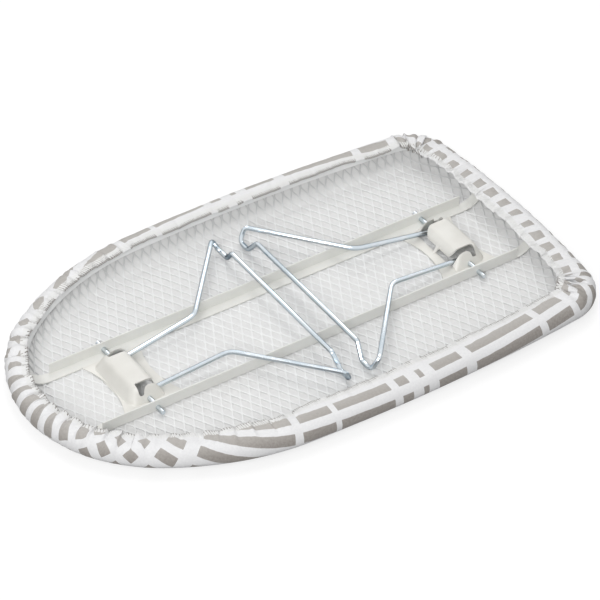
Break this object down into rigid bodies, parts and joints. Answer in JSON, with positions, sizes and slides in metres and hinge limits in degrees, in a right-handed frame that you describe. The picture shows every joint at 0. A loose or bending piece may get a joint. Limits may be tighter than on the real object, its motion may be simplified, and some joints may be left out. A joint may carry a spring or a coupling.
{
  "type": "tabletop ironing board",
  "caption": "Tabletop ironing board with padded cotton cover, dished expanded-metal deck, two rails, stamped hinge brackets and folding wire legs.",
  "frame": {"origin": "middle of the ironing face, which the board lies on with its legs folded", "axes": "+X from the rounded nose towards the square end, +Y across the board, +Z away from the ironing face, towards the legs"},
  "size_m": [0.6, 0.36, 0.03],
  "materials": {
    "mesh_paint": "white stoving paint on expanded steel, satin",
    "frame_paint": "off-white stoving paint, satin",
    "bracket_paint": "warm white stoving paint, satin",
    "zinc_wire": "bright bluish zinc plate on drawn wire",
    "pad_felt": "needled felt",
    "cover_cotton": "plain woven cotton, white with taupe blocks",
    "elastic": "woven elastic tape"
  },
  "bodies": {
    "deck": {"deck_floor": "mesh_paint", "deck_edge": "mesh_paint", "rim": "frame_paint", "rail_near": "frame_paint", "rail_far": "frame_paint", "bracket_nose": "bracket_paint", "bracket_tail": "bracket_paint", "pad": "pad_felt", "cover": "cover_cotton", "hem_elastic": "elastic"},
    "nose_leg": {"leg_nose": "zinc_wire"},
    "tail_leg": {"leg_tail": "zinc_wire"}
  },
  "joints": [
    {"name": "nose_leg_fold", "type": "hinge", "parent": "deck", "child": "nose_leg", "pos_m": [-0.1815, 0, 0.0103], "axis": [0, -1, 0], "range_deg": [0, 108]},
    {"name": "tail_leg_fold", "type": "hinge", "parent": "deck", "child": "tail_leg", "pos_m": [0.2062, 0, 0.0103], "axis": [0, 1, 0], "range_deg": [0, 108]}
  ]
}
